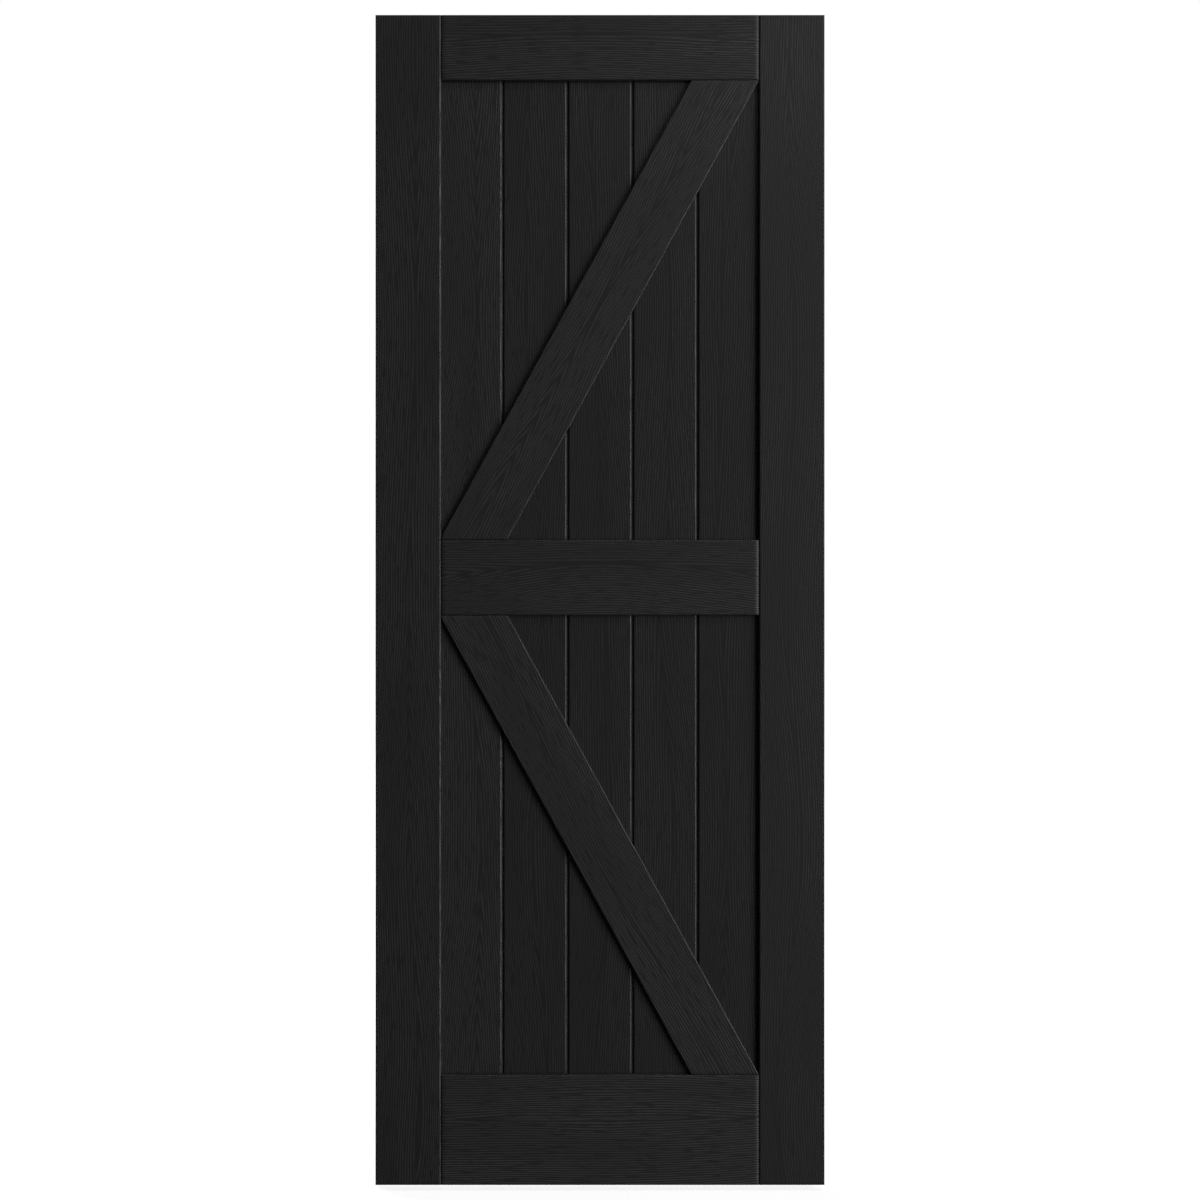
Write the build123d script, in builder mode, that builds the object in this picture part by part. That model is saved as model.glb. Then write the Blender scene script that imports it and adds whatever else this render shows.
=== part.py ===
"""A barn door leaf with a brace across each of its two panels, the same on both faces.

A frame of stiles and rails, grooved along its inner edges, holds ten upright tongued and grooved
boards. A diagonal brace is planted on the boards of each panel, flush with the frame, and the two
spring from the left end of the middle rail to the outer corners on the right.

Millimetres. X runs across the door, Y through its thickness with the front face at -Y, and Z up.
The origin is the centre of the top edge, which the door hangs by, so the door lies below Z = 0.
"""

from build123d import *

import os
from math import acos, atan2, cos, hypot, tan

# The leaf
door_height = 2134.0
door_width = 819.0
door_thickness = 35.0

# The frame. The arris is the rounding of an edge that meets another piece, on both faces, and the
# outer arris that of the door's own outline.
stile_width = 119.5
top_rail_height = 119.0
mid_rail_height = 138.0
bottom_rail_height = 201.0
groove_depth = 10.0
tenon_gap = 0.5
arris = 2.5
outer_arris = 1.0

# The boards. The outer ones are housed in the stiles, and all of them in the rails.
boards_across = 5
board_thickness = 15.0
board_housing = 7.0
board_end_gap = 0.5
vee_half_width = 4.2
vee_depth = 3.6
tongue_thickness = 4.0
tongue_length = 6.0
tongue_side_gap = 0.1
tongue_end_gap = 0.5

# The braces. The tip is how much of a brace's foot is cut off where it would run into the stile.
brace_width = 108.0
brace_tip = 2.4
brace_fit = 0.3

# The panels that the frame leaves open
opening_width = door_width - 2 * stile_width
opening_height = (door_height - top_rail_height - mid_rail_height - bottom_rail_height) / 2
recess_depth = (door_thickness - board_thickness) / 2
upper_panel_top = -top_rail_height
upper_panel_foot = upper_panel_top - opening_height
lower_panel_top = upper_panel_foot - mid_rail_height
lower_panel_foot = lower_panel_top - opening_height

# What fits in them
tenon_length = groove_depth - tenon_gap
board_pitch = (opening_width + 2 * board_housing) / boards_across
board_length = opening_height + 2 * (groove_depth - board_end_gap)
tongue_groove_depth = tongue_length + tongue_end_gap
tongue_groove_width = tongue_thickness + 2 * tongue_side_gap

# A brace's long edges pass through two opposite corners of its panel, so its width fixes its lean
# from upright.
brace_run = opening_width - 2 * brace_fit + brace_tip
brace_rise = opening_height - 2 * brace_fit
brace_lean = acos(brace_width / hypot(brace_run, brace_rise)) - atan2(brace_rise, brace_run)
brace_end_width = brace_width / cos(brace_lean)
brace_tip_height = brace_tip / tan(brace_lean)


def on_outline(edge):
    """Whether an edge lies on the outline of the whole door."""
    middle = edge.center()
    from_side = door_width / 2 - abs(middle.X)
    from_end = min(-middle.Z, door_height + middle.Z)
    return min(from_side, from_end) < outer_arris


def ease_edges(frame_piece):
    """Round the edges of a frame piece's two faces, the ones on the door's outline last."""
    faces = frame_piece.faces().filter_by(Axis.Y).sort_by(Axis.Y)
    edges = faces[0].edges() + faces[-1].edges()
    fillet([edge for edge in edges if not on_outline(edge)], arris)
    faces = frame_piece.faces().filter_by(Axis.Y).sort_by(Axis.Y)
    edges = faces[0].edges() + faces[-1].edges()
    outline = [edge for edge in edges if on_outline(edge)]
    if outline:
        fillet(outline, outer_arris)


def finish(solid, name):
    """Label a finished piece and write it to a file of its own."""
    solid.label = name
    export_step(solid, f"parts/{name}.step")


def make_stile(name, side):
    """An upright as tall as the door, grooved along its inner edge. Side is -1 left, 1 right."""
    inner_x = side * opening_width / 2
    with BuildPart() as stile:
        with BuildSketch(Plane.XY.offset(-door_height)):
            with Locations((inner_x + side * stile_width / 2, 0)):
                Rectangle(stile_width, door_thickness)
            with Locations((inner_x + side * groove_depth / 2, 0)):
                Rectangle(groove_depth, board_thickness, mode=Mode.SUBTRACT)
        extrude(amount=door_height)
        ease_edges(stile)
    finish(stile.part, name)


def make_rail(name, rail_foot, rail_height, panel_above, panel_below):
    """A cross piece with a stub tenon at each end, grooved along each edge that meets a panel."""
    rail_top = rail_foot + rail_height
    tenon_top = rail_top - groove_depth if panel_above else rail_top
    tenon_foot = rail_foot + groove_depth if panel_below else rail_foot
    with BuildPart() as rail:
        with BuildSketch(Plane.YZ.offset(-opening_width / 2)):
            with Locations((0, rail_foot + rail_height / 2)):
                Rectangle(door_thickness, rail_height)
            if panel_above:
                with Locations((0, rail_top - groove_depth / 2)):
                    Rectangle(board_thickness, groove_depth, mode=Mode.SUBTRACT)
            if panel_below:
                with Locations((0, rail_foot + groove_depth / 2)):
                    Rectangle(board_thickness, groove_depth, mode=Mode.SUBTRACT)
        extrude(amount=opening_width)
        ease_edges(rail)
        with BuildSketch(Plane.YZ.offset(opening_width / 2)):
            with Locations((0, (tenon_top + tenon_foot) / 2)):
                Rectangle(board_thickness, tenon_top - tenon_foot)
        tenon = extrude(amount=tenon_length)
        mirror(tenon, about=Plane.YZ)
    finish(rail.part, name)


def make_board(name, place, panel_foot):
    """One upright board, tongued to the next. Its place in the panel counts from 0 at the left."""
    left_x = -opening_width / 2 - board_housing + place * board_pitch
    right_x = left_x + board_pitch
    with BuildPart() as board:
        with BuildSketch(Plane.XY.offset(panel_foot - groove_depth + board_end_gap)) as section:
            with Locations(((left_x + right_x) / 2, 0)):
                Rectangle(board_pitch, board_thickness)
            if place > 0:
                left_edge = section.edges().sort_by(Axis.X)[0]
                chamfer(left_edge.vertices(), vee_depth, vee_half_width, reference=left_edge)
                with Locations((left_x + tongue_groove_depth / 2, 0)):
                    Rectangle(tongue_groove_depth, tongue_groove_width, mode=Mode.SUBTRACT)
            if place < boards_across - 1:
                right_edge = section.edges().sort_by(Axis.X)[-1]
                chamfer(right_edge.vertices(), vee_depth, vee_half_width, reference=right_edge)
                with Locations((right_x + tongue_length / 2, 0)):
                    Rectangle(tongue_length, tongue_thickness)
        extrude(amount=board_length)
    finish(board.part, name)


def make_brace(name, panel_tip, panel_head, face):
    """A brace from its tip at the left of one end of a panel to its head at the right of the other.

    The panel's ends are given by their heights, and face is 1 for the front and -1 for the back.
    """
    up = 1 if panel_head > panel_tip else -1
    tip_z = panel_tip + up * brace_fit
    head_z = panel_head - up * brace_fit
    left_x = -opening_width / 2 + brace_fit
    right_x = opening_width / 2 - brace_fit
    with BuildPart() as brace:
        with BuildSketch(Plane.XZ.offset(face * board_thickness / 2)):
            with BuildLine():
                Polyline(
                    (left_x, tip_z),
                    (left_x, tip_z + up * brace_tip_height),
                    (right_x - brace_end_width, head_z),
                    (right_x, head_z),
                    (left_x - brace_tip + brace_end_width, tip_z),
                    close=True,
                )
            make_face()
        extrude(amount=face * recess_depth)
        shown_face = brace.faces().sort_by(Axis.Y)[0 if face > 0 else -1]
        fillet(shown_face.edges(), arris)
    finish(brace.part, name)


os.makedirs("parts", exist_ok=True)

make_stile("left_stile", side=-1)
make_stile("right_stile", side=1)

make_rail("top_rail", upper_panel_top, top_rail_height, panel_above=False, panel_below=True)
make_rail("mid_rail", lower_panel_top, mid_rail_height, panel_above=True, panel_below=True)
make_rail("bottom_rail", -door_height, bottom_rail_height, panel_above=True, panel_below=False)

for place in range(boards_across):
    make_board(f"upper_board_{place + 1}", place, upper_panel_foot)
    make_board(f"lower_board_{place + 1}", place, lower_panel_foot)

for side_name, face in (("front", 1), ("back", -1)):
    make_brace(f"upper_brace_{side_name}", upper_panel_foot, upper_panel_top, face)
    make_brace(f"lower_brace_{side_name}", lower_panel_top, lower_panel_foot, face)
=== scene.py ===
"""The looks of a braced barn door leaf in black.

Every timber is a mesh of its own with wood grain pressed into it, as nested grooves that close into
flames along the middle of a face. A satin black skin covers all of them, and its material adds the
finer ridges that stand between the grooves. The grain runs along each timber, so it is upright on
the stiles and boards, level on the rails and aslant on the braces. Lengths are in metres, in the
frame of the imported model.
"""

from collections import namedtuple
from math import acos, atan2, cos, hypot, inf, pi, sin, tan

import bmesh
import bpy
import numpy as np
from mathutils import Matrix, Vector


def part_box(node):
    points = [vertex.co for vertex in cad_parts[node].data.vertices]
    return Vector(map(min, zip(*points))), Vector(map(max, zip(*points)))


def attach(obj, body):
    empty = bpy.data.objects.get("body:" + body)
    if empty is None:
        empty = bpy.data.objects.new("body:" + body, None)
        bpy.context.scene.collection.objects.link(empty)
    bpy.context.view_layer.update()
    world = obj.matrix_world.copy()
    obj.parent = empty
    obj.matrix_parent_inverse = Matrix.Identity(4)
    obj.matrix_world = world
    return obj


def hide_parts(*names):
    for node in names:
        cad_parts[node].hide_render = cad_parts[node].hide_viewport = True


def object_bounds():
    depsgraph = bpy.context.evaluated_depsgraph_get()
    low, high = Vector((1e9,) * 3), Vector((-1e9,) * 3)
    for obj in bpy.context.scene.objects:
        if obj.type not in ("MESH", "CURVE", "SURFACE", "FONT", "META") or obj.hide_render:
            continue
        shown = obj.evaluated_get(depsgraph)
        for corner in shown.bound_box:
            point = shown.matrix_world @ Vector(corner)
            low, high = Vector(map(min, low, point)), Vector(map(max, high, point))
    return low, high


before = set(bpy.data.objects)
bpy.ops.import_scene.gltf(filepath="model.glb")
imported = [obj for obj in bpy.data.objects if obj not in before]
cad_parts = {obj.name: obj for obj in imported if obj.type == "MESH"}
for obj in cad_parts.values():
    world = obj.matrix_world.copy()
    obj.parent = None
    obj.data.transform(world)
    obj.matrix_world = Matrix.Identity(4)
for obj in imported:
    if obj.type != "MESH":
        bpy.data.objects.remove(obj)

bl_info = {
    "name": "Barn Door Leaf",
    "version": (1, 0, 0),
    "blender": (4, 5, 0),
    "location": "3D View > Sidebar > Barn Door",
    "description": "Builds a braced barn door leaf with embossed grain, and the stage it is shown on",
    "category": "Add Mesh",
}

CAD_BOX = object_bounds()
LEAF_LOW, LEAF_HIGH = CAD_BOX
LEAF_CENTRE = (LEAF_LOW + LEAF_HIGH) / 2
BOARDS_ACROSS = 5


def node_size(node):
    """The width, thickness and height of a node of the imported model."""
    low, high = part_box(node)
    return high - low


LEAF_THICKNESS = node_size("left_stile").y
BOARD_THICKNESS = node_size("upper_board_1").y


class TimberSettings(bpy.types.PropertyGroup):
    """Sizes of the timbers that their boxes don't give, and how finely they are meshed."""

    arris: bpy.props.FloatProperty(
        name="Arris", description="Rounding of the edges that meet another timber",
        default=0.0023, min=0.0, unit="LENGTH")
    end_arris: bpy.props.FloatProperty(
        name="End arris", description="Rounding of a rail's ends, where they meet the stiles",
        default=0.0022, min=0.0, unit="LENGTH")
    outer_arris: bpy.props.FloatProperty(
        name="Outer arris", description="Rounding of the edges on the leaf's outline",
        default=0.0010, min=0.0, unit="LENGTH")
    groove_depth: bpy.props.FloatProperty(
        name="Groove depth", description="Depth of the groove that holds the boards and tenons",
        default=0.010, min=0.0, unit="LENGTH")
    tenon_length: bpy.props.FloatProperty(
        name="Tenon length", description="How far a rail's tenon reaches into a stile",
        default=0.0095, min=0.0, unit="LENGTH")
    vee_half_width: bpy.props.FloatProperty(
        name="Vee half width", description="Width of the bevel on one side of a vee between boards",
        default=0.0034, min=0.0, unit="LENGTH")
    vee_depth: bpy.props.FloatProperty(
        name="Vee depth", description="Depth of the vee between boards",
        default=0.0038, min=0.0, unit="LENGTH")
    vee_softness: bpy.props.FloatProperty(
        name="Vee softness", description="Rounding of the two edges of a vee",
        default=0.0015, min=0.0, unit="LENGTH")
    tongue_thickness: bpy.props.FloatProperty(
        name="Tongue thickness", description="Thickness of the tongue on a board's edge",
        default=0.004, min=0.0, unit="LENGTH")
    tongue_length: bpy.props.FloatProperty(
        name="Tongue length", description="How far a board's tongue stands out",
        default=0.006, min=0.0, unit="LENGTH")
    tongue_gap: bpy.props.FloatProperty(
        name="Tongue gap", description="Clearance round a tongue in its groove",
        default=0.0001, min=0.0, unit="LENGTH")
    brace_width: bpy.props.FloatProperty(
        name="Brace width", description="Width of a brace across its grain",
        default=0.108, min=0.0, unit="LENGTH")
    brace_arris: bpy.props.FloatProperty(
        name="Brace arris", description="Rounding of the edges of a brace's face",
        default=0.0010, min=0.0, unit="LENGTH")
    brace_tip: bpy.props.FloatProperty(
        name="Brace tip", description="How much of a brace's foot is cut off at the stile",
        default=0.0024, min=0.0, unit="LENGTH")
    step_across: bpy.props.FloatProperty(
        name="Step across", description="Mesh spacing across the grain",
        default=0.0014, min=0.0005, unit="LENGTH")
    step_along: bpy.props.FloatProperty(
        name="Step along", description="Mesh spacing along the grain",
        default=0.0072, min=0.001, unit="LENGTH")


class GrainSettings(bpy.types.PropertyGroup):
    """The grain that is pressed into the timbers."""

    depth: bpy.props.FloatProperty(
        name="Depth", description="Depth of the deepest grooves",
        default=0.00010, min=0.0, unit="LENGTH")
    ring_pitch: bpy.props.FloatProperty(
        name="Ring pitch", description="Spacing of the growth rings where they run straight",
        default=0.0044, min=0.001, unit="LENGTH")
    pore_width: bpy.props.FloatProperty(
        name="Pore width", description="Width of one pore, across the grain",
        default=0.0021, min=0.0005, unit="LENGTH")
    pore_length: bpy.props.FloatProperty(
        name="Pore length", description="Length of one pore, along the grain",
        default=0.021, min=0.001, unit="LENGTH")
    seed: bpy.props.IntProperty(
        name="Seed", description="Number that all the timbers' own grain is drawn from",
        default=84, min=0)


class SkinSettings(bpy.types.PropertyGroup):
    """The black skin."""

    colour: bpy.props.FloatVectorProperty(
        name="Colour", description="Colour of the skin",
        default=(0.017, 0.017, 0.017), min=0.0, max=1.0, subtype="COLOR")
    # Painted highlight: the paler colour of the grain's ridges stands in for light caught by the raised
    # grain.
    ridge_highlight_colour: bpy.props.FloatVectorProperty(
        name="Ridge colour", description="Colour of the skin on the ridges of the grain",
        default=(0.060, 0.060, 0.060), min=0.0, max=1.0, subtype="COLOR")
    roughness: bpy.props.FloatProperty(
        name="Roughness", description="Roughness of the skin on the ridges of the grain",
        default=0.30, min=0.0, max=1.0, subtype="FACTOR")
    groove_roughness: bpy.props.FloatProperty(
        name="Groove roughness", description="Roughness of the skin between the ridges",
        default=0.42, min=0.0, max=1.0, subtype="FACTOR")
    shine: bpy.props.FloatProperty(
        name="Shine", description="Strength of the skin's reflections, 0.5 for plain lacquer",
        default=0.45, min=0.0, max=1.0, subtype="FACTOR")


class StageSettings(bpy.types.PropertyGroup):
    """The floor, the lamps and the camera."""

    floor_gap: bpy.props.FloatProperty(
        name="Floor gap", description="Gap between the hanging leaf and the floor",
        default=0.012, min=0.0, unit="LENGTH")
    floor_colour: bpy.props.FloatVectorProperty(
        name="Floor colour", description="Colour of the floor",
        default=(0.7, 0.7, 0.7), min=0.0, max=1.0, subtype="COLOR")
    room_light: bpy.props.FloatProperty(
        name="Room light", description="Strength of the even light from all round",
        default=0.025, min=0.0)
    key_way: bpy.props.FloatVectorProperty(
        name="Key way", description="The way from the leaf's centre to the large lamp in front of it",
        default=(1.3, -1.0, 0.14), subtype="DIRECTION")
    key_distance: bpy.props.FloatProperty(
        name="Key distance", description="Distance of the large lamps from the leaf's centre",
        default=9.0, min=0.1, unit="LENGTH")
    key_width: bpy.props.FloatProperty(
        name="Key width", description="Width of the large lamps",
        default=5.2, min=0.01, unit="LENGTH")
    key_height: bpy.props.FloatProperty(
        name="Key height", description="Height of the large lamps",
        default=9.2, min=0.01, unit="LENGTH")
    key_power: bpy.props.FloatProperty(
        name="Key power", description="Power of each large lamp",
        default=650.0, min=0.0, unit="POWER")
    top_place: bpy.props.FloatVectorProperty(
        name="Top place", description="Place of the lamp above the front of the leaf",
        default=(3.0, -3.8, 6.5), subtype="TRANSLATION")
    top_size: bpy.props.FloatProperty(
        name="Top size", description="Side of the square lamps above the leaf",
        default=2.0, min=0.01, unit="LENGTH")
    top_power: bpy.props.FloatProperty(
        name="Top power", description="Power of each lamp above the leaf",
        default=110.0, min=0.0, unit="POWER")
    corner_place: bpy.props.FloatVectorProperty(
        name="Corner place", description="Place of the small lamp near the upper right corner",
        default=(0.47, -1.6, 0.45), subtype="TRANSLATION")
    corner_size: bpy.props.FloatProperty(
        name="Corner size", description="Side of the small square lamps",
        default=0.25, min=0.01, unit="LENGTH")
    corner_power: bpy.props.FloatProperty(
        name="Corner power", description="Power of each small lamp",
        default=0.5, min=0.0, unit="POWER")
    camera_distance: bpy.props.FloatProperty(
        name="Camera distance", description="Distance of the camera from the leaf's front face",
        default=3.039, min=0.1, unit="LENGTH")
    lens: bpy.props.FloatProperty(
        name="Lens", description="Focal length of the camera in millimetres",
        default=50.0, min=10.0)


# Grain
# A drift is a length that changes slowly along a timber. Its row sets it apart from the other drifts
# of the same timber. The limits are those between which a noise or a share is brought from 0 to 1.

Drift = namedtuple("Drift", "least range length row")
Patch = namedtuple("Patch", "width length")
HEART_PLACE = Drift(-0.035, 0.07, 0.45, 0.5)
HEART_WIDTH = Drift(0.002, 0.007, 0.55, 7.5)
RING_CLIMB = Drift(0.0, 0.08, 0.50, 3.5)
SWAY_PATCH = Patch(0.030, 0.16)
SWAY_RINGS = 1.2
CALM_PATCH = Patch(0.035, 0.24)
CALM_LIMITS = (0.20, 0.65)
CALM_LEAST = 0.7
CLEAR_LIMITS = (-0.4, 0.7)
PORE_LIMITS = (0.30, 0.85)
PORE_LEAST = 0.4
SHIFT_PER_SEED = 0.4


def smooth_step(low, high, values):
    """0 below low, 1 above high and an even curve between."""
    share = np.clip((values - low) / (high - low), 0.0, 1.0)
    return share * share * (3.0 - 2.0 * share)


def soft_noise(x, y, seed):
    """Even noise from 0 to 1 with one bump to each unit of x and y, the same for the same seed."""
    size = 256
    table = np.random.default_rng(seed).random((size, size))
    column, row = np.floor(x).astype(int), np.floor(y).astype(int)
    right, up = smooth_step(0.0, 1.0, x - column), smooth_step(0.0, 1.0, y - row)
    column, row = column % size, row % size
    next_column, next_row = (column + 1) % size, (row + 1) % size
    low = table[column, row] * (1 - right) + table[next_column, row] * right
    high = table[column, next_row] * (1 - right) + table[next_column, next_row] * right
    return low * (1 - up) + high * up


def drifting(drift, along, seed):
    """The length that a drift has at places along a timber."""
    row = np.full_like(along, drift.row)
    return drift.least + drift.range * soft_noise(along / drift.length, row, seed)


def patchy(patch, limits, least, across, along, seed):
    """Noise in patches of a width and a length, cut off between limits and raised to a least value."""
    noise = soft_noise(across / patch.width, along / patch.length, seed)
    return least + (1 - least) * smooth_step(*limits, noise)


def grain_at(across, along, seed):
    """The grain at places across and along a timber: its map for the skin, clearness and depth.

    The map holds the count of the growth rings and the places across and along the grain. Clearness
    and depth are from 0 to 1. The grain is least clear in the heart of the flames, and the depth is
    that of the grooves, which are deepest where pores cross them.
    """
    grain = bpy.context.scene.door_grain
    from_heart = across - drifting(HEART_PLACE, along, seed)
    spread = np.hypot(from_heart, drifting(HEART_WIDTH, along, seed))
    rings = (spread - drifting(RING_CLIMB, along, seed)) / grain.ring_pitch
    rings = rings + SWAY_RINGS * soft_noise(across / SWAY_PATCH.width, along / SWAY_PATCH.length, seed + 1)
    clear = smooth_step(*CLEAR_LIMITS, np.abs(from_heart) / spread)
    clear = clear * patchy(CALM_PATCH, CALM_LIMITS, CALM_LEAST, across, along, seed + 3)
    pore_patch = Patch(grain.pore_width, grain.pore_length)
    pores = patchy(pore_patch, PORE_LIMITS, PORE_LEAST, across, along, seed + 2)
    grooves = 0.5 + 0.5 * np.sin(2 * pi * rings)
    grain_map = np.column_stack((rings, across, along + SHIFT_PER_SEED * seed))
    return grain_map, clear, grooves * clear * pores


def grain_place(across, depth, along, thickness):
    """Where points lie in the grain: each face has its own, and it carries on down the sides."""
    down_side = thickness / 2 - np.abs(depth)
    return across + np.sign(across) * down_side, along + OTHER_FACE * (depth > 0)


# Meshes
# A corner is one of a section's, a ring is where a section is carried to, and a lie is how a timber
# lies in the leaf. On the map for baking, a timber's sides lie below SIDE_MAP and its two ends beside
# each other above CAP_MAP. A brace's face ends at PLATE_MAP, and its walls lie between WALL_MAP.

Corner = namedtuple("Corner", "across depth radius step shown")
Ring = namedtuple("Ring", "along limit low high")
Lie = namedtuple("Lie", "centre across along")
ARC_CUTS = 4
FLATTENING = 0.6
HIDDEN_STEP = 1.0
OTHER_FACE = 40.0
SHARP_ANGLE = 0.6
MERGE_DISTANCE = 1e-6
SIDE_MAP = 0.96
CAP_MAP = 0.98
CAP_WIDTH = 0.4
FIRST_CAP = 0.05
CAP_SPACING = 0.5
PLATE_MAP = 0.86
WALL_MAP = (0.90, 0.96)
RIGHT = Vector((1.0, 0.0, 0.0))
BACK = Vector((0.0, 1.0, 0.0))
UP = Vector((0.0, 0.0, 1.0))


def corner_ways(places, index):
    """The directions into and out of a corner of a closed outline."""
    before, here, after = places[index - 1], places[index], places[(index + 1) % len(places)]
    into, out = here - before, after - here
    return into / np.linalg.norm(into), out / np.linalg.norm(out)


def outline(corners):
    """Points round a closed section, with 1 for each that takes grain and 0 for each that doesn't.

    A corner's step is the spacing of the points from it to the next corner.
    """
    places = [np.array((corner.across, corner.depth)) for corner in corners]
    ways = [corner_ways(places, index) for index in range(len(corners))]
    turns = [acos(np.clip(into @ out, -1, 1)) for into, out in ways]
    reaches = [corner.radius * tan(turn / 2) for corner, turn in zip(corners, turns)]
    points, shown = [], []
    for index, corner in enumerate(corners):
        into, out = ways[index]
        if corner.radius:
            for cut in range(ARC_CUTS):
                back, ahead = rounding(cut / ARC_CUTS)
                points.append(places[index] + reaches[index] * (out * ahead - into * back))
                shown.append(0)
        following = (index + 1) % len(corners)
        begin = places[index] + out * reaches[index]
        end = places[following] - ways[following][0] * reaches[following]
        cuts = max(1, round(np.linalg.norm(end - begin) / corner.step))
        for cut in range(cuts):
            points.append(begin + (end - begin) * cut / cuts)
            shown.append(corner.shown)
    return np.array(points), np.array(shown)


def rounding(share):
    """How far back and ahead of its corner a rounding is, for a rounding that reaches 1 each way.

    It bends most near its ends and is flattened between them, like an edge that was broken by hand.
    """
    bend = share * (1 - share) * FLATTENING
    return (1 - share) ** 2 + bend, share ** 2 + bend


def eased(distance, radius):
    """How far a rounded edge falls below its face, at a distance in from the edge."""
    inset = np.clip(distance / max(radius, MERGE_DISTANCE), 0.0, 1.0)
    full = 2 - FLATTENING
    share = (full - np.sqrt(full ** 2 - 4 * (1 - FLATTENING) * (1 - inset))) / (2 * (1 - FLATTENING))
    return radius * rounding(share)[1]


def edge_cuts(radius):
    """Distances in from a rounded edge at which it is cut, from 0 to its radius."""
    return radius * rounding(np.linspace(1, 0, ARC_CUTS + 1))[0]


def stations(start, end, radius, step):
    """Places from start to end, close together over the rounding at each end."""
    cuts = edge_cuts(radius)
    count = max(1, round((end - start - 2 * radius) / step))
    middle = np.linspace(start + radius, end - radius, count + 1)
    return np.concatenate((start + cuts[:-1], middle, end - cuts[:-1][::-1]))


def cells(columns, rows):
    """The four corners of each cell of a grid, row by row, as one list of places."""
    left, low = np.meshgrid(columns[:-1], rows[:-1])
    right, high = np.meshgrid(columns[1:], rows[1:])
    return np.stack((left, low, right, low, right, high, left, high), axis=-1).reshape(-1, 4, 2)


def make_piece(node, points, faces, grain_map, clear, bake_map):
    """A mesh piece that stands for a node, with its grain and its map for baking."""
    mesh = bpy.data.meshes.new(node)
    mesh.from_pydata(points.tolist(), [], faces)
    mesh.update()
    lie = mesh.attributes.new("timber", "FLOAT_VECTOR", "POINT")
    lie.data.foreach_set("vector", grain_map.ravel())
    clearness = mesh.attributes.new("clear", "FLOAT", "POINT")
    clearness.data.foreach_set("value", clear)
    layer = mesh.uv_layers.new(name="OFBake")
    layer.uv.foreach_set("vector", np.concatenate(bake_map).ravel())
    merged = bmesh.new()
    merged.from_mesh(mesh)
    bmesh.ops.remove_doubles(merged, verts=merged.verts, dist=MERGE_DISTANCE)
    merged.to_mesh(mesh)
    merged.free()
    mesh.polygons.foreach_set("use_smooth", np.ones(len(mesh.polygons), bool))
    mesh.set_sharp_from_angle(angle=SHARP_ANGLE)
    mesh.materials.append(skin_material(node))
    piece = bpy.data.objects.new(node + "_timber", mesh)
    bpy.context.scene.collection.objects.link(piece)
    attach(piece, "root")
    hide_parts(node)
    return piece


def sweep(node, corners, rings, lie, seed):
    """A timber made by carrying a section along its rings, with grain pressed in where it shows."""
    section, shown = outline(corners)
    ahead = np.roll(section, -1, axis=0) - np.roll(section, 1, axis=0)
    outward = np.column_stack((ahead[:, 1], -ahead[:, 0]))
    outward /= np.linalg.norm(outward, axis=1, keepdims=True)
    alongs, limits, lows, highs = (np.array(values)[:, None] for values in zip(*rings))
    along = np.broadcast_to(alongs, (len(rings), len(section)))
    places = grain_place(section[:, 0], section[:, 1], along, 2 * section[:, 1].max())
    places = (np.broadcast_to(place, along.shape).ravel() for place in places)
    grain_map, clear, grooves = grain_at(*places, seed)
    grooves = grooves.reshape(along.shape) * shown * (limits > limits.max() - MERGE_DISTANCE)
    sunk = grooves * bpy.context.scene.door_grain.depth
    across = np.clip(section[:, 0] - outward[:, 0] * sunk, lows, highs)
    depth = np.clip(section[:, 1] - outward[:, 1] * sunk, -limits, limits)
    points = np.outer(across, lie.across) + np.outer(depth, BACK) + np.outer(along, lie.along)
    points += np.array(lie.centre)

    count = len(section)
    here = np.arange(count)
    beside = np.roll(here, -1)
    first = (np.arange(len(rings) - 1) * count)[:, None]
    above = first + count
    quads = np.stack((first + here, first + beside, above + beside, above + here), axis=-1).reshape(-1, 4)
    around = np.append(0, np.cumsum(np.linalg.norm(section[beside] - section, axis=1)))
    rise = np.append(0, np.cumsum(np.abs(np.diff(alongs[:, 0])) + np.abs(np.diff(limits[:, 0]))))
    quad_map = cells(around / around[-1], rise / rise[-1] * SIDE_MAP)
    spread = (section - section.min(axis=0)) / np.ptp(section, axis=0)
    cap_map = spread * (CAP_WIDTH, 1 - CAP_MAP) + (FIRST_CAP, CAP_MAP)
    caps = [here[::-1], here + (len(rings) - 1) * count]
    cap_maps = [cap_map[::-1], cap_map + (CAP_SPACING, 0)]
    if lie.across.cross(BACK).dot(lie.along) < 0:
        quads, quad_map = quads[:, ::-1], quad_map[:, ::-1]
        caps = [cap[::-1] for cap in caps]
        cap_maps = [corner_map[::-1] for corner_map in cap_maps]
    faces = quads.tolist() + [cap.tolist() for cap in caps]
    bake_map = [quad_map.reshape(-1, 2), *cap_maps]
    return make_piece(node, points, faces, grain_map, clear, bake_map)


def whole_rings(start, end, radius, thickness):
    """Rings of the full section, whose faces fall away over the rounded ends."""
    places = stations(start, end, radius, bpy.context.scene.door_timber.step_along)
    limits = thickness / 2 - eased(np.minimum(places - start, end - places), radius)
    return [Ring(place, limit, -inf, inf) for place, limit in zip(places, limits)]


# Frame

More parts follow.
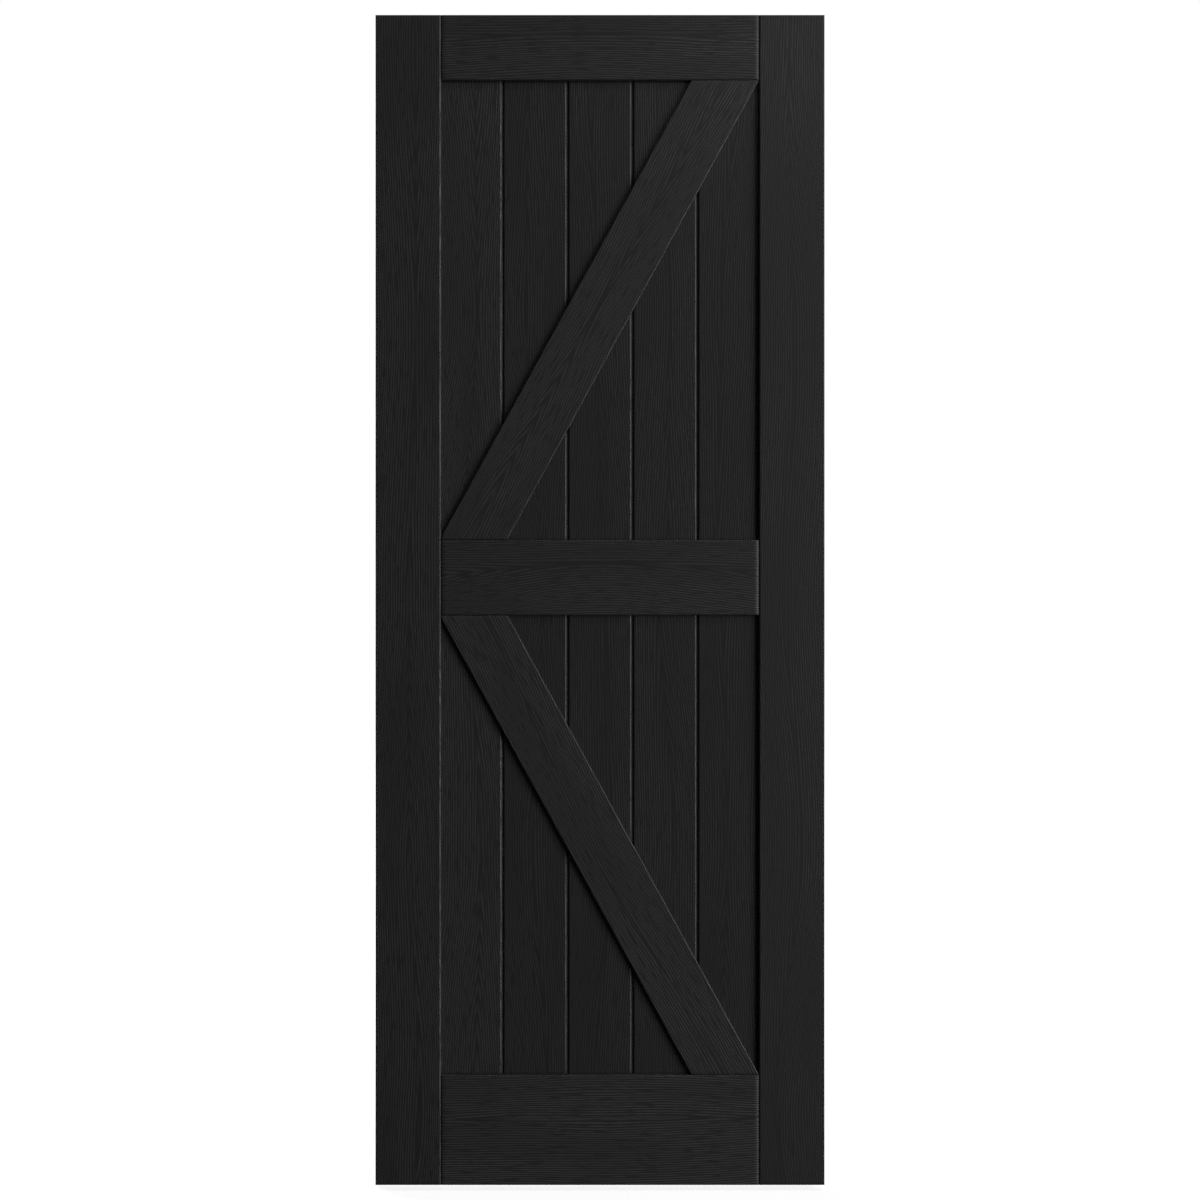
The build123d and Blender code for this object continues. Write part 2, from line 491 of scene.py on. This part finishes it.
def frame_section(width, panel_below, panel_above):
    """Corners of a frame timber, grooved and well rounded on the edges that face a panel.

    Below and above are the low and the high side across the timber.
    """
    timber = bpy.context.scene.door_timber
    step = timber.step_across
    half_width, half_depth, half_groove = width / 2, LEAF_THICKNESS / 2, BOARD_THICKNESS / 2
    bottom = half_width - timber.groove_depth
    low_radius = timber.arris if panel_below else timber.outer_arris
    high_radius = timber.arris if panel_above else timber.outer_arris
    corners = [
        Corner(-half_width, -half_depth, low_radius, step, 1),
        Corner(half_width, -half_depth, high_radius, step, int(panel_above)),
    ]
    if panel_above:
        corners += [
            Corner(half_width, -half_groove, 0, HIDDEN_STEP, 0),
            Corner(bottom, -half_groove, 0, HIDDEN_STEP, 0),
            Corner(bottom, half_groove, 0, HIDDEN_STEP, 0),
            Corner(half_width, half_groove, 0, step, 1),
        ]
    corners += [
        Corner(half_width, half_depth, high_radius, step, 1),
        Corner(-half_width, half_depth, low_radius, step, int(panel_below)),
    ]
    if panel_below:
        corners += [
            Corner(-half_width, half_groove, 0, HIDDEN_STEP, 0),
            Corner(-bottom, half_groove, 0, HIDDEN_STEP, 0),
            Corner(-bottom, -half_groove, 0, HIDDEN_STEP, 0),
            Corner(-half_width, -half_groove, 0, step, 1),
        ]
    return corners


def make_stile(node, panel_on_left, seed):
    """An upright as tall as the leaf, grooved along the edge that faces the panels."""
    timber = bpy.context.scene.door_timber
    low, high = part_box(node)
    half_height = (high.z - low.z) / 2
    corners = frame_section(high.x - low.x, panel_on_left, not panel_on_left)
    rings = whole_rings(-half_height, half_height, timber.outer_arris, LEAF_THICKNESS)
    return sweep(node, corners, rings, Lie((low + high) / 2, RIGHT, UP), seed)


def make_rail(node, panel_below, panel_above, seed):
    """A cross piece with a stub tenon at each end, grooved along each edge that faces a panel."""
    timber = bpy.context.scene.door_timber
    low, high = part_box(node)
    half_height = (high.z - low.z) / 2
    tenon_end = (high.x - low.x) / 2
    shoulder = tenon_end - timber.tenon_length
    tenon_foot = timber.groove_depth - half_height if panel_below else -half_height
    tenon_head = half_height - timber.groove_depth if panel_above else half_height
    tenon = (BOARD_THICKNESS / 2, tenon_foot, tenon_head)
    rings = whole_rings(-shoulder, shoulder, timber.end_arris, LEAF_THICKNESS)
    rings = [Ring(-tenon_end, *tenon), Ring(-shoulder, *tenon), *rings]
    rings = [*rings, Ring(shoulder, *tenon), Ring(tenon_end, *tenon)]
    corners = frame_section(high.z - low.z, panel_below, panel_above)
    return sweep(node, corners, rings, Lie((low + high) / 2, UP, RIGHT), seed)


# Boards

def board_section(width, tongued, grooved):
    """Corners of a board, with half a vee and the tongue or the groove on each edge it shares."""
    timber = bpy.context.scene.door_timber
    soft, step = timber.vee_softness, timber.step_across
    half_width, half_depth = width / 2, BOARD_THICKNESS / 2
    face, vee = half_width - timber.vee_half_width, half_depth - timber.vee_depth
    half_tongue = timber.tongue_thickness / 2
    tongue_end = half_width + timber.tongue_length
    half_groove = half_tongue + timber.tongue_gap
    groove_bottom = timber.tongue_length + timber.tongue_gap - half_width
    if tongued:
        right_edge = [
            Corner(face, -half_depth, soft, step, 1),
            Corner(half_width, -vee, 0, HIDDEN_STEP, 0),
            Corner(half_width, -half_tongue, 0, HIDDEN_STEP, 0),
            Corner(tongue_end, -half_tongue, 0, HIDDEN_STEP, 0),
            Corner(tongue_end, half_tongue, 0, HIDDEN_STEP, 0),
            Corner(half_width, half_tongue, 0, HIDDEN_STEP, 0),
            Corner(half_width, vee, 0, step, 1),
            Corner(face, half_depth, soft, step, 1),
        ]
    else:
        right_edge = [
            Corner(half_width, -half_depth, 0, HIDDEN_STEP, 0),
            Corner(half_width, half_depth, 0, step, 1),
        ]
    if grooved:
        left_edge = [
            Corner(-face, half_depth, soft, step, 1),
            Corner(-half_width, vee, 0, HIDDEN_STEP, 0),
            Corner(-half_width, half_groove, 0, HIDDEN_STEP, 0),
            Corner(groove_bottom, half_groove, 0, HIDDEN_STEP, 0),
            Corner(groove_bottom, -half_groove, 0, HIDDEN_STEP, 0),
            Corner(-half_width, -half_groove, 0, HIDDEN_STEP, 0),
            Corner(-half_width, -vee, 0, step, 1),
            Corner(-face, -half_depth, soft, step, 1),
        ]
    else:
        left_edge = [
            Corner(-half_width, half_depth, 0, HIDDEN_STEP, 0),
            Corner(-half_width, -half_depth, 0, step, 1),
        ]
    return right_edge + left_edge


def make_board(node, place, seed):
    """One upright board, tongued to the next. Its place in the panel counts from 0 at the left."""
    tongued, grooved = place < BOARDS_ACROSS - 1, place > 0
    low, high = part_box(node)
    if tongued:
        high.x -= bpy.context.scene.door_timber.tongue_length
    half_height = (high.z - low.z) / 2
    corners = board_section(high.x - low.x, tongued, grooved)
    rings = whole_rings(-half_height, half_height, 0, BOARD_THICKNESS)
    return sweep(node, corners, rings, Lie((low + high) / 2, RIGHT, UP), seed)


# Braces

def brace_reach(node):
    """How far a brace reaches to the side and up, with the tip that the stile cuts off."""
    low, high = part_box(node)
    return high.x - low.x + bpy.context.scene.door_timber.brace_tip, high.z - low.z


def brace_lean(node):
    """The lean from upright at which a brace's long edges meet two corners of its panel."""
    run, rise = brace_reach(node)
    width = bpy.context.scene.door_timber.brace_width
    return acos(width / hypot(run, rise)) - atan2(rise, run)


def brace_lie(node, rising):
    """How a brace lies. Rising is 1 where its head, at the right, is its upper end, or else -1."""
    low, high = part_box(node)
    lean = brace_lean(node)
    tip_x = low.x - bpy.context.scene.door_timber.brace_tip
    centre = Vector(((tip_x + high.x) / 2, 0, (low.z + high.z) / 2))
    across_way = Vector((cos(lean), 0, -rising * sin(lean)))
    return Lie(centre, across_way, Vector((sin(lean), 0, rising * cos(lean))))


def brace_grid(node, rising, lie):
    """A grid over a brace's face: places across it, places along it, and how far from its edge.

    It runs from a tip at the left of the panel, cut off by the stile and a rail, to a level head at
    the right.
    """
    timber = bpy.context.scene.door_timber
    low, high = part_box(node)
    foot, head = (low.z, high.z) if rising > 0 else (high.z, low.z)
    lean = brace_lean(node)
    half_width = timber.brace_width / 2
    across = stations(-half_width, half_width, timber.brace_arris, timber.step_across)
    foot_cut = (foot - lie.centre.z - across * lie.across.z) / lie.along.z
    tip_cut = (low.x - lie.centre.x - across * lie.across.x) / lie.along.x
    head_cut = (head - lie.centre.z - across * lie.across.z) / lie.along.z
    start = np.maximum(foot_cut, tip_cut)
    cuts = edge_cuts(timber.brace_arris)[:, None] / cos(lean)
    share = np.linspace(0, 1, round(hypot(*brace_reach(node)) / timber.step_along))[:, None]
    middle = (start + cuts[-1]) * (1 - share) + (head_cut - cuts[-1]) * share
    along = np.concatenate((start + cuts[:-1], middle, head_cut - cuts[:-1][::-1]))
    inset = np.minimum(half_width - np.abs(across), (head_cut - along) * cos(lean))
    inset = np.minimum(inset, (along - foot_cut) * cos(lean))
    inset = np.maximum(0, np.minimum(inset, (along - tip_cut) * sin(lean)))
    return np.broadcast_to(across, along.shape), along, inset


def make_brace(node, rising, front, seed):
    """A brace planted on the boards, rounded on all the edges of its face.

    Front is 1, or -1 on the leaf's back.
    """
    timber = bpy.context.scene.door_timber
    low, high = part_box(node)
    face_y, board_y = (low.y, high.y) if front > 0 else (high.y, low.y)
    lie = brace_lie(node, rising)
    across, along, inset = brace_grid(node, rising, lie)
    rows, columns = along.shape
    across, along, inset = across.ravel(), along.ravel(), inset.ravel()
    index = np.arange(rows * columns).reshape(rows, columns)
    rim = np.concatenate((index[0], index[1:, -1], index[-1, -2::-1], index[-2:0:-1, 0]))

    grain_along = along + OTHER_FACE * (front < 0)
    grain_map, clear, grooves = grain_at(across, grain_along, seed)
    down_side = across[rim] + np.sign(across[rim]) * (high.y - low.y)
    base_map, base_clear, _ = grain_at(down_side, grain_along[rim], seed)
    grain_map = np.concatenate((grain_map, base_map))
    clear = np.concatenate((clear, base_clear))

    grooves = grooves * (inset >= timber.brace_arris)
    sunk = eased(inset, timber.brace_arris) + grooves * bpy.context.scene.door_grain.depth
    top = np.array(lie.centre) + np.outer(across, lie.across) + np.outer(along, lie.along)
    base = top[rim]
    top[:, 1] = face_y + front * sunk
    base[:, 1] = board_y
    points = np.concatenate((top, base))

    under = rows * columns + np.arange(len(rim))
    plate = np.stack((index[:-1, :-1], index[:-1, 1:], index[1:, 1:], index[1:, :-1]), axis=-1)
    walls = np.stack((under, np.roll(under, -1), np.roll(rim, -1), rim), axis=-1)
    quads = np.concatenate((plate.reshape(-1, 4), walls))
    bottom = under[::-1]

    over_width = (across[:columns] - across[0]) / (across[columns - 1] - across[0])
    plate_map = cells(over_width * PLATE_MAP, np.linspace(0, SIDE_MAP, rows))
    wall_map = cells(np.array(WALL_MAP), np.linspace(0, SIDE_MAP, len(rim) + 1))[:, [0, 3, 2, 1]]
    quad_map = np.concatenate((plate_map, wall_map))
    spread = (base - base.min(axis=0))[:, [0, 2]] / brace_reach(node)
    bottom_map = (spread * (PLATE_MAP, 1 - CAP_MAP) + (0, CAP_MAP))[::-1]

    if lie.across.cross(lie.along).y * front > 0:
        quads, quad_map = quads[:, ::-1], quad_map[:, ::-1]
        bottom, bottom_map = bottom[::-1], bottom_map[::-1]
    faces = [*quads.tolist(), bottom.tolist()]
    bake_map = [quad_map.reshape(-1, 2), bottom_map]
    return make_piece(node, points, faces, grain_map, clear, bake_map)


# Skin
# A timber's kind has its own depth of ridge, its own share of painted highlight on the ridges, which is
# how far they turn to the paler colour, and its own tone of painted light and shade, which paints the
# whole timber lighter or darker to stand in for how brightly it is lit: the right stile and the bottom
# rail lighter, the left stile and the boards darker, the fifth board most of all. The first kind whose
# name is in a node's name is the node's.
# The ridges rise as the wave of the rings falls from the first to the second of RIDGE_LIMITS. Noise
# breaks them up, stretched by DASH_FACTORS for the rings and for across and along the grain. A mix
# node's sockets go by number, because those of its other kinds of data have the same names.

Timber = namedtuple("Timber", "depth wear tone")
TIMBERS = {
    "left_stile": Timber(0.00018, 0.50, 0.95),
    "right_stile": Timber(0.00011, 0.35, 1.05),
    "top_rail": Timber(0.00026, 0.70, 0.95),
    "mid_rail": Timber(0.00030, 0.65, 0.98),
    "bottom_rail": Timber(0.00040, 0.75, 1.05),
    "board_1": Timber(0.00018, 0.50, 1.01),
    "board_5": Timber(0.00011, 0.45, 0.81),
    "board": Timber(0.00014, 0.45, 0.86),
    "brace": Timber(0.00016, 0.60, 1.02),
}
RIDGE_LIMITS = (0.9, -0.6)
DASH_FACTORS = (0.0, 300.0, 24.0)
DASH_LIMITS = (0.30, 0.50)
MIX_COLOURS = (6, 7)
MIX_RESULT = 2


def add_node(tree, kind, inputs=None, **settings):
    """A new node of a tree, with its settings and the values or links of its inputs."""
    new = tree.nodes.new(kind)
    for name, value in settings.items():
        setattr(new, name, value)
    for name, value in (inputs or {}).items():
        if isinstance(value, bpy.types.NodeSocket):
            tree.links.new(value, new.inputs[name])
        else:
            new.inputs[name].default_value = value
    return new


def node_group(name, inputs, outputs):
    """An empty shader node group, and its input and output nodes."""
    group = bpy.data.node_groups.new(name, "ShaderNodeTree")
    for socket, kind in inputs.items():
        group.interface.new_socket(name=socket, in_out="INPUT", socket_type=kind)
    for socket, kind in outputs.items():
        group.interface.new_socket(name=socket, in_out="OUTPUT", socket_type=kind)
    return group, group.nodes.new("NodeGroupInput"), group.nodes.new("NodeGroupOutput")


def product(tree, value, factor):
    """A value multiplied by another."""
    return add_node(tree, "ShaderNodeMath", {0: value, 1: factor}, operation="MULTIPLY").outputs[0]


def ranged(tree, value, start, end, low=0.0, high=1.0):
    """A value brought from the range of start to end into that of low to high, and kept in it."""
    inputs = {"Value": value, "From Min": start, "From Max": end, "To Min": low, "To Max": high}
    return add_node(tree, "ShaderNodeMapRange", inputs).outputs[0]


def streaks(tree, place, factors, limits):
    """Noise stretched by a factor for each part of the grain's map, cut off between two limits."""
    spot = add_node(tree, "ShaderNodeVectorMath", {0: place, 1: factors}, operation="MULTIPLY")
    inputs = {"Vector": spot.outputs[0], "Scale": 1.0, "Detail": 1.0}
    noise = add_node(tree, "ShaderNodeTexNoise", inputs).outputs["Fac"]
    return ranged(tree, noise, *limits)


def wood_grain_group():
    """Grain finer than the mesh: a mask of the broken ridges that stand between its grooves."""
    name = "Wood Grain"
    if name in bpy.data.node_groups:
        return bpy.data.node_groups[name]
    inputs = {"Place": "NodeSocketVector", "Clear": "NodeSocketFloat"}
    outputs = {"Ridges": "NodeSocketFloat"}
    group, given, result = node_group(name, inputs, outputs)
    place = given.outputs["Place"]
    rings = add_node(group, "ShaderNodeSeparateXYZ", {0: place}).outputs["X"]
    turn = product(group, rings, 2 * pi)
    wave = add_node(group, "ShaderNodeMath", {0: turn}, operation="SINE").outputs[0]
    lines = ranged(group, wave, *RIDGE_LIMITS)
    dashes = product(group, lines, streaks(group, place, DASH_FACTORS, DASH_LIMITS))
    group.links.new(product(group, dashes, given.outputs["Clear"]), result.inputs["Ridges"])
    return group


def skin_material(node):
    """The black skin of one kind of timber."""
    kind = next(kind for kind in TIMBERS if kind in node)
    timber = TIMBERS[kind]
    name = kind + "_black"
    if name in bpy.data.materials:
        return bpy.data.materials[name]
    skin = bpy.context.scene.door_skin
    material = bpy.data.materials.new(name)
    material.use_nodes = True
    tree = material.node_tree
    tree.nodes.clear()
    place = add_node(tree, "ShaderNodeAttribute", attribute_name="timber").outputs["Vector"]
    clear = add_node(tree, "ShaderNodeAttribute", attribute_name="clear").outputs["Fac"]
    inputs = {"Place": place, "Clear": clear}
    grain = add_node(tree, "ShaderNodeGroup", inputs, node_tree=wood_grain_group())
    ridges = grain.outputs["Ridges"]
    # Painted light and shade: each timber's tone paints it lighter or darker to stand in for how brightly
    # it is lit.
    shades = [(*(timber.tone * Vector(shade)), 1) for shade in (skin.colour, skin.ridge_highlight_colour)]
    # Painted highlight: the ridges turn towards the paler ridge colour, standing in for light caught by
    # their raised sides.
    inputs = {"Factor": product(tree, ridges, timber.wear), **dict(zip(MIX_COLOURS, shades))}
    colour = add_node(tree, "ShaderNodeMix", inputs, data_type="RGBA")
    inputs = {"Height": ridges, "Strength": 1.0, "Distance": timber.depth}
    bump = add_node(tree, "ShaderNodeBump", inputs).outputs[0]
    inputs = {
        "Base Color": colour.outputs[MIX_RESULT],
        "Roughness": ranged(tree, ridges, 0.0, 1.0, skin.groove_roughness, skin.roughness),
        "Specular IOR Level": skin.shine,
        "Normal": bump,
    }
    shader = add_node(tree, "ShaderNodeBsdfPrincipled", inputs).outputs[0]
    add_node(tree, "ShaderNodeOutputMaterial", {"Surface": shader})
    return material


# Timber operators

SEED_STEP = 10


def timber_seed(node):
    """A seed of a node's own. The steps leave room for a timber's own few noises."""
    return bpy.context.scene.door_grain.seed + SEED_STEP * sorted(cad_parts).index(node)


class BARN_DOOR_OT_frame(bpy.types.Operator):
    """Make the two stiles and the three rails."""

    bl_idname = "barn_door.frame"
    bl_label = "Make frame"

    def execute(self, context):
        for node, panel_on_left in (("left_stile", False), ("right_stile", True)):
            make_stile(node, panel_on_left, timber_seed(node))
        for node, below, above in (
                ("top_rail", True, False), ("mid_rail", True, True), ("bottom_rail", False, True)):
            make_rail(node, below, above, timber_seed(node))
        return {"FINISHED"}


class BARN_DOOR_OT_boards(bpy.types.Operator):
    """Make the five boards of each panel."""

    bl_idname = "barn_door.boards"
    bl_label = "Make boards"

    def execute(self, context):
        for panel in ("upper", "lower"):
            for place in range(BOARDS_ACROSS):
                node = f"{panel}_board_{place + 1}"
                make_board(node, place, timber_seed(node))
        return {"FINISHED"}


class BARN_DOOR_OT_braces(bpy.types.Operator):
    """Make the brace of each panel, on the front and on the back."""

    bl_idname = "barn_door.braces"
    bl_label = "Make braces"

    def execute(self, context):
        for panel, rising in (("upper", 1), ("lower", -1)):
            for side, front in (("front", 1), ("back", -1)):
                node = f"{panel}_brace_{side}"
                make_brace(node, rising, front, timber_seed(node))
        return {"FINISHED"}


# Stage
# The floor glows a little less than white up to the start of its fade, so that it keeps the leaf's
# shadow, and is white from the fade's end on.

FLOOR_RADIUS = 30.0
FLOOR_SEGMENTS = 96
FADE_START = 0.4
FADE_END = 1.2
NEAR_GLOW = 0.78


def floor_material():
    """A pale floor that reads as white but for the leaf's shadow, and that only the camera sees."""
    stage = bpy.context.scene.door_stage
    material = bpy.data.materials.new("pale_floor")
    material.use_nodes = True
    tree = material.node_tree
    tree.nodes.clear()
    path = add_node(tree, "ShaderNodeLightPath").outputs["Is Camera Ray"]
    diffuse = add_node(tree, "ShaderNodeBsdfDiffuse", {"Color": (*stage.floor_colour, 1)})
    where = add_node(tree, "ShaderNodeTexCoord").outputs["Object"]
    away = add_node(tree, "ShaderNodeVectorMath", {0: where}, operation="LENGTH").outputs["Value"]
    fade = ranged(tree, away, FADE_START, FADE_END, NEAR_GLOW, 1.0)
    glow = add_node(tree, "ShaderNodeEmission", {"Strength": fade})
    seen = add_node(tree, "ShaderNodeAddShader", {0: diffuse.outputs[0], 1: glow.outputs[0]})
    clear = add_node(tree, "ShaderNodeBsdfTransparent")
    both = add_node(tree, "ShaderNodeMixShader", {0: path, 1: clear.outputs[0], 2: seen.outputs[0]})
    add_node(tree, "ShaderNodeOutputMaterial", {"Surface": both.outputs[0]})
    return material


def make_floor():
    """A round floor just under the leaf."""
    stage = bpy.context.scene.door_stage
    mesh = bpy.data.meshes.new("floor")
    disc = bmesh.new()
    bmesh.ops.create_circle(disc, cap_ends=True, segments=FLOOR_SEGMENTS, radius=FLOOR_RADIUS)
    disc.to_mesh(mesh)
    disc.free()
    mesh.materials.append(floor_material())
    floor = bpy.data.objects.new("floor", mesh)
    floor.location = (LEAF_CENTRE.x, LEAF_CENTRE.y, LEAF_LOW.z - stage.floor_gap)
    bpy.context.scene.collection.objects.link(floor)


def make_lamp(name, place, width, height, power):
    """A soft lamp at a place, turned to the leaf's centre and not seen by the camera."""
    data = bpy.data.lights.new(name, "AREA")
    data.shape = "RECTANGLE"
    data.size = width
    data.size_y = height
    data.energy = power
    lamp = bpy.data.objects.new(name, data)
    lamp.location = place
    lamp.rotation_euler = (LEAF_CENTRE - place).to_track_quat("-Z", "Y").to_euler()
    lamp.visible_camera = False
    bpy.context.scene.collection.objects.link(lamp)


def make_world():
    """Even faint light from all round, behind which the camera sees white."""
    stage = bpy.context.scene.door_stage
    world = bpy.data.worlds.new("studio")
    world.use_nodes = True
    tree = world.node_tree
    tree.nodes.clear()
    path = add_node(tree, "ShaderNodeLightPath").outputs["Is Camera Ray"]
    strength = ranged(tree, path, 0.0, 1.0, stage.room_light, 1.0)
    white = {"Color": (1, 1, 1, 1), "Strength": strength}
    shader = add_node(tree, "ShaderNodeBackground", white).outputs[0]
    add_node(tree, "ShaderNodeOutputWorld", {"Surface": shader})
    bpy.context.scene.world = world


class BARN_DOOR_OT_stage(bpy.types.Operator):
    """Make the floor, the lamps, the backdrop and the camera."""

    bl_idname = "barn_door.stage"
    bl_label = "Make stage"

    def execute(self, context):
        stage = context.scene.door_stage
        context.scene.view_settings.view_transform = "Standard"
        make_world()
        make_floor()
        key_place = LEAF_CENTRE + Vector(stage.key_way).normalized() * stage.key_distance
        top_place, corner_place = Vector(stage.top_place), Vector(stage.corner_place)
        lamps = {
            "key": (key_place, stage.key_width, stage.key_height, stage.key_power),
            "top": (top_place, stage.top_size, stage.top_size, stage.top_power),
            "corner": (corner_place, stage.corner_size, stage.corner_size, stage.corner_power),
        }
        for side, turn in (("front", 1), ("back", -1)):
            for kind, (place, width, height, power) in lamps.items():
                make_lamp(f"{kind}_{side}", place * Vector((turn, turn, 1)), width, height, power)
        data = bpy.data.cameras.new("camera")
        data.lens = stage.lens
        camera = bpy.data.objects.new("camera", data)
        camera.location = (LEAF_CENTRE.x, LEAF_LOW.y - stage.camera_distance, LEAF_CENTRE.z)
        camera.rotation_euler = (pi / 2, 0, 0)
        context.scene.collection.objects.link(camera)
        context.scene.camera = camera
        return {"FINISHED"}


class BARN_DOOR_PT_panel(bpy.types.Panel):
    """The steps that make the leaf and its stage."""

    bl_label = "Barn Door"
    bl_space_type = "VIEW_3D"
    bl_region_type = "UI"
    bl_category = "Barn Door"

    def draw(self, context):
        for operator in (
                BARN_DOOR_OT_stage, BARN_DOOR_OT_frame, BARN_DOOR_OT_boards, BARN_DOOR_OT_braces):
            self.layout.operator(operator.bl_idname)


SETTINGS = {
    "door_timber": TimberSettings,
    "door_grain": GrainSettings,
    "door_skin": SkinSettings,
    "door_stage": StageSettings,
}
CLASSES = (
    *SETTINGS.values(),
    BARN_DOOR_OT_stage,
    BARN_DOOR_OT_frame,
    BARN_DOOR_OT_boards,
    BARN_DOOR_OT_braces,
    BARN_DOOR_PT_panel,
)


def register():
    for made in CLASSES:
        bpy.utils.register_class(made)
    for name, settings in SETTINGS.items():
        setattr(bpy.types.Scene, name, bpy.props.PointerProperty(type=settings))


def unregister():
    for name in SETTINGS:
        delattr(bpy.types.Scene, name)
    for made in reversed(CLASSES):
        bpy.utils.unregister_class(made)


def main():
    register()
    bpy.ops.barn_door.stage()
    bpy.ops.barn_door.frame()
    bpy.ops.barn_door.boards()
    bpy.ops.barn_door.braces()


if __name__ == "__main__":
    main()
